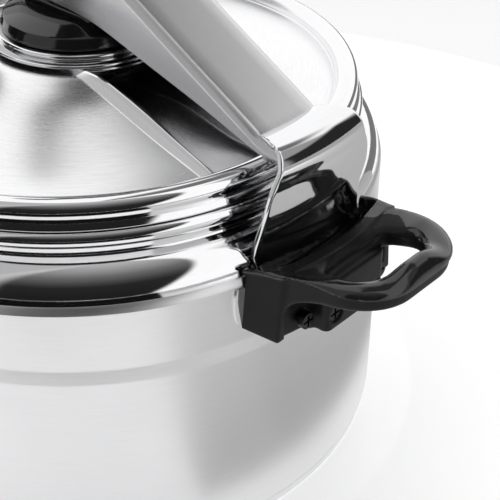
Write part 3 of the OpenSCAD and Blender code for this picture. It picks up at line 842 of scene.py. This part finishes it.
def handle_field(u, t, z):
    t = np.abs(t)
    radius = np.hypot(u, t)
    lean = 36.35 - (u - 122.5) * 0.13 - (z - HANDLE_Z) * 0.083
    side = t - lean
    level = crease_z(u) - 0.15
    # block: side walls and curved front wall
    front = np.where(t > 30.2, u - 139.3, radius - 141.0)
    block = blend_max(blend_max(side, front, 0.9), z - level + 0.08 * np.clip(30 - t, 0, 30), 0.8)
    block = blend_max(block, HANDLE_Z - z, 1.2)
    # boss for the inner screws
    boss = box_field(u - 138, t, 10.9, BOSS_HALF, 3.2)
    boss = blend_max(boss, HANDLE_Z - z, 1.2)
    boss = blend_max(boss, z - 128.0, 2.0)
    body = blend_min(block, boss, 4.5)
    # arms and loop
    arms = np.maximum(loop_field(u, t, z), 122 - u)
    body = blend_min(body, arms, 2.6)
    # saddle between the lip and the opening
    hole_edge = 141.2 + 0.012 * t * t
    saddle = blend_max(u - hole_edge, np.maximum(z - 132.4, 126.6 - z), 4.2)
    saddle = np.maximum(saddle, t - 26)
    body = blend_min(body, saddle, 3.4)
    # well for the bracket and the jaw
    well = blend_max(np.maximum(t - WELL_HALF, radius - 137.5), z - 130.2, 0.8)
    lip = np.maximum(t - WELL_HALF - 0.12 * (z - 128), radius - LIP_R)
    well = np.minimum(well, np.where(z > 128, lip, 9.0))
    body = blend_max(body, -well, 0.7)
    # pot side
    body = np.maximum(body, UPPER_R + 0.25 - radius)
    shoulder_gap = SHOULDER_R + 0.6 - np.hypot(radius - SHOULDER[0], np.maximum(z - SHOULDER[1], 0))
    body = np.maximum(body, shoulder_gap)
    # screw holes
    inner_hole = np.hypot(t - INNER_SCREW_T, z - SCREW_Z) - 3.6
    inner_hole = np.maximum(inner_hole, 145.2 - u)
    outer_hole = np.hypot(t - OUTER_SCREW_T, z - SCREW_Z) - 3.7
    outer_hole = np.maximum(outer_hole, 139.2 - u)
    return blend_max(body, -np.minimum(inner_hole, outer_hole), 0.5)


def make_handles():
    verts, faces = surface(handle_field, (119, -38, 104), (181, 38, 147), 0.65)
    picks = matte_faces(verts[faces].mean(1))
    for side, shape in (("right", verts), ("left", turned(verts))):
        name = f"{side}_handle_moulding"
        nodes = [f"{side}_handle"]
        add_mesh(name, shape, faces, [GLOSS, MATTE], "pot", nodes, 60, picks)


def matte_faces(middle):
    """1 for faces of the moulding's plain sides, below the crease and outside the well."""
    u, t, z = middle.T
    t = np.abs(t)
    radius = np.hypot(u, t)
    below = z < crease_z(u) - 0.3
    outside = (radius > LIP_R + 1.2) | (t > WELL_HALF + 0.5)
    return (below & outside).astype(int)


# ---------------------------------------------------------------- knob, weight and screw


def knob_field(x, y, z):
    radius = np.hypot(x, y)
    edge = 22 - 3 * np.clip((244 - z) / 8, 0, 1) - 5 * np.clip((z - 257) / 7, 0, 1) ** 1.6
    boss = blend_max(radius - edge, np.maximum(236 - z, z - 264), 1.6)
    away = np.abs(y)
    flat = np.where(away < 42, np.abs(x) - 11, np.hypot(x, away - 42) - 11)
    wing = blend_max(flat + np.clip((z - 255) / 5, 0, 1) * 2.4, np.maximum(245 - z, z - 260), 3.0)
    body = blend_min(boss, wing, 5.0)
    body = blend_max(body, -np.maximum(np.hypot(x, away - 42) - 4, z - 249), 0.8)
    body = np.maximum(body, -np.maximum(radius - 12.2, 256 - z))
    return np.maximum(body, 7.05 - radius)


def make_knob():
    verts, faces = surface(knob_field, (-25, -55, 234), (25, 55, 266), 0.8)
    add_mesh("knob_moulding", verts, faces, [GLOSS], "knob", ["knob_body"], 50)
    underside = [(0, 263.3, 0), (9, 263.3, 0), (9, 262.9, 0), (11.9, 262.9, 0), (11.9, 264, 0)]
    cover = rounded(underside + [(14.4, 264.0, 0.3), (12.9, 265.5, 1.2), (6, 265.6, 4), (0, 265.6, 0)])
    verts, faces = lathe(cover, 128)
    add_mesh("knob_cap", verts, faces, [POLISHED], "knob", ["knob_cover"], 50)


def make_screw():
    """Clamp screw with a rolled trapezoid thread, 3 mm pitch."""
    radius = 6.95
    depth = 0.9
    pitch = 3.0
    turns_low = 187.0
    turns_high = 248.0
    segments = 48
    heights = np.arange(turns_low, turns_high + 0.01, pitch / 12)
    angle = np.linspace(0, 2 * math.pi, segments, endpoint=False)
    phase = (heights[:, None] / pitch - angle[None] / (2 * math.pi)) % 1.0
    tooth = step(phase, 0.08, 0.30) * (1 - step(phase, 0.62, 0.84))
    run_in = step(heights, turns_low, turns_low + 2)
    run_out = 1 - step(heights, turns_high - 1.5, turns_high)
    fade = np.minimum(run_in, run_out)[:, None]
    groove = step(heights, 206.2, 206.9) * (1 - step(heights, 208.1, 208.8))
    r = radius - depth * (1 - tooth) * fade - groove[:, None] * tooth * depth
    rings = np.stack([r * np.cos(angle), r * np.sin(angle), heights[:, None] * np.ones(segments)], -1)
    ends_low = [(0.0, 182.7), (4.5, 182.7), (6.9, 184.2)]
    ends_high = [(radius, 249.6), (5.0, 249.9), (5.0, 259.4), (4.4, 259.9), (0.0, 259.9)]

    def ring(reach, z):
        return np.stack([reach * np.cos(angle), reach * np.sin(angle), np.full(segments, z)], -1)[None]

    stack = np.concatenate([*[ring(*p) for p in ends_low], rings, *[ring(*p) for p in ends_high]])
    faces = grid_faces(len(stack), segments, wrap_columns=True)
    verts = stack.reshape(-1, 3)
    add_mesh("clamp_screw_thread", verts, faces, [HARDWARE], "knob", ["clamp_screw"], 40)


VALVE_AT = (-28.0, -52.0)


def weight_field(x, y, z):
    radius = np.hypot(x, y)
    edge = 13 - 3 * np.clip((z - 204) / 4.5, 0, 1) ** 1.5
    body = blend_max(radius - edge, np.maximum(184.0 - z, z - 208.5), 1.2)
    angle = np.arctan2(y, x)
    nearest = (angle + math.pi / 8) % (math.pi / 4) - math.pi / 8
    scoop = np.hypot(radius * np.cos(nearest) - 15.6, radius * np.sin(nearest)) - 3.6
    body = blend_max(body, -scoop, 0.8)
    return np.maximum(body, -np.maximum(radius - 9.05, z - 206.05))


def make_weight():
    verts, faces = surface(weight_field, (-15, -15, 182.5), (15, 15, 210), 0.6)
    verts = verts + np.array([*VALVE_AT, 0.0])
    add_mesh("weight_cover", verts, faces, [GLOSS], "weight", ["weight_cap"], 50)


# ---------------------------------------------------------------- stage


def stage_plane(name, corners, material, reflections_only=False):
    mesh = bpy.data.meshes.new(name)
    mesh.from_pydata([tuple(c) for c in corners], [], [tuple(range(len(corners)))])
    mesh.materials.append(material)
    piece = bpy.data.objects.new(name, mesh)
    bpy.context.scene.collection.objects.link(piece)
    if reflections_only:
        piece.visible_camera = False
        piece.visible_diffuse = False
        piece.visible_shadow = False


def make_floor():
    material, tree, shader = new_material("white_floor")
    cloud = noise(tree, flat_coordinates(tree, (3, 3, 3)), 1.0, 2.0, 0.5)
    tree.links.new(shade(tree, cloud, (0.88, 0.88, 0.88), (0.9, 0.9, 0.9)), shader.inputs["Base Color"])
    shader.inputs["Roughness"].default_value = 0.06
    shader.inputs["IOR"].default_value = 1.6
    shader.inputs["Emission Color"].default_value = (1, 1, 1, 1)
    shader.inputs["Emission Strength"].default_value = 0.38
    side = 3.0
    stage_plane("floor", [(-side, -side, 0), (side, -side, 0), (side, side, 0), (-side, side, 0)], material)


def make_card(name, level, start, end, near):
    """A black or grey sector just over the floor, from near outwards, seen only in reflections."""
    material, _, shader = new_material(name)
    shader.inputs["Base Color"].default_value = (level, level, level, 1)
    shader.inputs["Roughness"].default_value = 1.0
    shader.inputs["Specular IOR Level"].default_value = 0.0
    outer = arc((0, 0), 2.6, start, end, 16)
    inner = arc((0, 0), near, end, start, 16)
    stage_plane(name, [(x, y, 0.0005) for x, y in outer + inner], material, reflections_only=True)


def make_light():
    """A soft light on the right that lifts the matte surfaces and is left out of reflections."""
    data = bpy.data.lights.new("right_fill", "AREA")
    data.shape = "RECTANGLE"
    data.size = 0.5
    data.size_y = 0.5
    data.energy = 2.0
    light = bpy.data.objects.new("right_fill", data)
    light.location = (0.75, 0.15, 0.25)
    light.rotation_euler = (math.radians(80), 0, math.radians(101))
    light.visible_glossy = False
    light.visible_camera = False
    bpy.context.scene.collection.objects.link(light)


def make_world():
    """White studio with its dark side behind the viewer, as radiance by azimuth and height in degrees."""
    world = bpy.data.worlds.new("studio")
    bpy.context.scene.world = world
    world.use_nodes = True
    tree = world.node_tree
    place = node(tree, "ShaderNodeTexCoord").outputs["Generated"]
    x, y, z = node(tree, "ShaderNodeSeparateXYZ", {0: place}).outputs
    azimuth = math_node(tree, "MULTIPLY", math_node(tree, "ARCTAN2", y, x), math.degrees(1))
    height = math_node(tree, "MULTIPLY", math_node(tree, "ARCSINE", z), math.degrees(1))

    def above(value, edge, soft):
        made = node(
            tree,
            "ShaderNodeMapRange",
            {"Value": value, "From Min": edge - soft, "From Max": edge + soft},
            interpolation_type="SMOOTHSTEP",
        )
        return made.outputs[0]

    def both(a, b):
        return math_node(tree, "MULTIPLY", a, b)

    def inverse(a):
        return math_node(tree, "SUBTRACT", 1.0, a)

    def mixed(share, a, b):
        return math_node(tree, "ADD", both(inverse(share), a), both(share, b))

    # the tall softbox on the right starts at a slanted edge
    softbox_edge = math_node(tree, "SUBTRACT", azimuth, math_node(tree, "MULTIPLY", height, 0.5))
    viewer_side = both(above(azimuth, -84.0, 8.0), inverse(above(softbox_edge, -22.0, 2.5)))
    ramp = node(tree, "ShaderNodeValToRGB", {"Fac": math_node(tree, "DIVIDE", height, 90.0)})
    marks = ((0.0, 0.012), (0.33, 0.02), (0.44, 0.06), (0.6, 0.14), (0.75, 0.28), (1.0, 0.5))
    while len(ramp.color_ramp.elements) < len(marks):
        ramp.color_ramp.elements.new(0.5)
    for element, (place_at, level) in zip(ramp.color_ramp.elements, marks):
        element.position = place_at
        element.color = (level, level, level, 1)
    viewer_level = ramp.outputs[0]
    # low dark opening to the right of the softbox, rising away from it
    right_low = math_node(tree, "SUBTRACT", height, math_node(tree, "MULTIPLY", azimuth, 0.4))
    right_sector = both(above(azimuth, 27.0, 2.0), inverse(above(azimuth, 72.0, 8.0)))
    right_dark = both(right_sector, inverse(above(right_low, 12.0, 3.0)))
    # grey ceiling behind
    back_sector = both(above(azimuth, 62.0, 8.0), inverse(above(azimuth, 128.0, 8.0)))
    ceiling = both(back_sector, above(height, 48.0, 5.0))
    left = both(inverse(above(azimuth, -84.0, 8.0)), above(azimuth, -150.0, 10.0))
    # grey wall to the right of the softbox
    past_softbox = math_node(tree, "SUBTRACT", azimuth, math_node(tree, "MULTIPLY", height, 0.3))
    wall_sector = both(above(past_softbox, 11.0, 2.5), inverse(above(azimuth, 62.0, 8.0)))
    right_grey = both(wall_sector, inverse(above(height, 60.0, 8.0)))
    level = mixed(viewer_side, 1.0, viewer_level)
    level = mixed(right_grey, level, 0.3)
    level = mixed(right_dark, level, 0.02)
    level = mixed(ceiling, level, 0.16)
    level = mixed(left, level, 0.45)
    back = tree.nodes["Background"]
    grey = node(tree, "ShaderNodeCombineColor", {0: level, 1: level, 2: level}).outputs[0]
    tree.links.new(grey, back.inputs[0])
    back.inputs[1].default_value = 1.15


def make_camera():
    data = bpy.data.cameras.new("camera")
    data.lens = 83.53
    data.sensor_width = 36
    camera = bpy.data.objects.new("camera", data)
    camera.location = (0.35647, -0.28624, 0.37841)
    camera.rotation_euler = (math.radians(55.315), 0, math.radians(42.5))
    bpy.context.scene.collection.objects.link(camera)
    bpy.context.scene.camera = camera
    bpy.context.scene.view_settings.view_transform = "Standard"


make_pot()
make_lid()
make_centre()
make_hub()
make_arch()
make_jaws()
make_handles()
make_knob()
make_screw()
make_weight()
make_floor()
make_card("black_card", 0.01, -84, -22, 0.40)
make_card("grey_card", 0.3, 75, 150, 0.42)
make_card("pale_card", 0.78, -22, 2, 0.15)
make_card("soft_grey_card", 0.66, 2, 75, 0.15)
make_light()
make_world()
make_camera()
